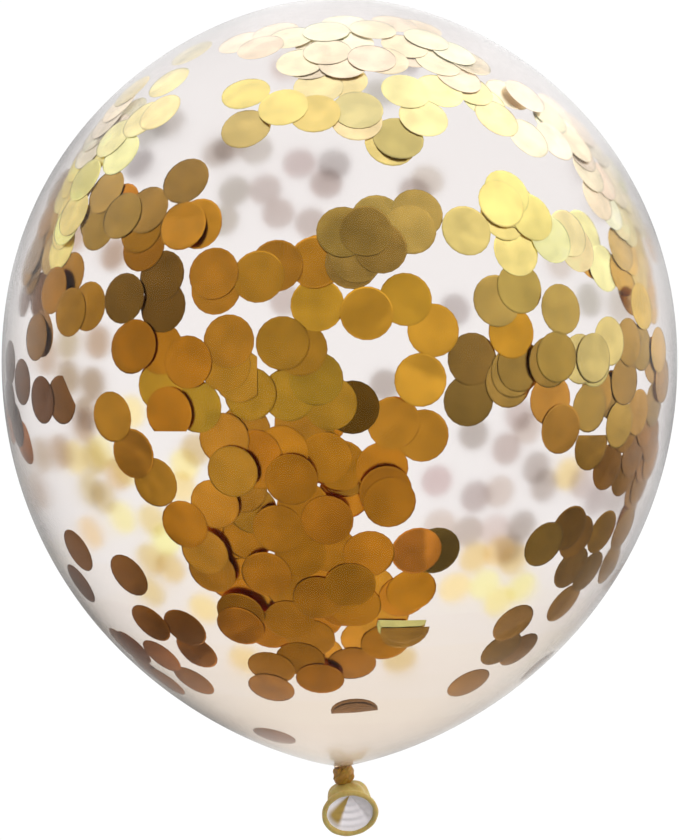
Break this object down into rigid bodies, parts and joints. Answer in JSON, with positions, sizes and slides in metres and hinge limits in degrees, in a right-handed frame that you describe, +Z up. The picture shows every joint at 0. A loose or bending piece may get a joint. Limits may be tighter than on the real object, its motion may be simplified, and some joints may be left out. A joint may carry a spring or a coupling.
{
  "type": "confetti balloon",
  "caption": "Round clear latex party balloon, tied with a knot and filled with loose gold foil confetti discs, lying on its side with the mouth of its tail turned up.",
  "frame": {"origin": "centre of the small flat spot that the balloon lies on, under its widest ring", "axes": "+Z up from the flat spot, +Y along the balloon's axis towards the crown, the knot and tail towards -Y, +X to the right seen from above with the crown up"},
  "size_m": [0.305, 0.3851, 0.3031],
  "materials": {
    "latex_film": "clear stretched latex, glossy, slightly hazy",
    "tied_latex": "unstretched natural latex, amber, soft satin",
    "gold_foil": "metallised foil, gold, soft mirror"
  },
  "bodies": {
    "root": {"latex_balloon": "latex_film"}
  },
  "joints": []
}
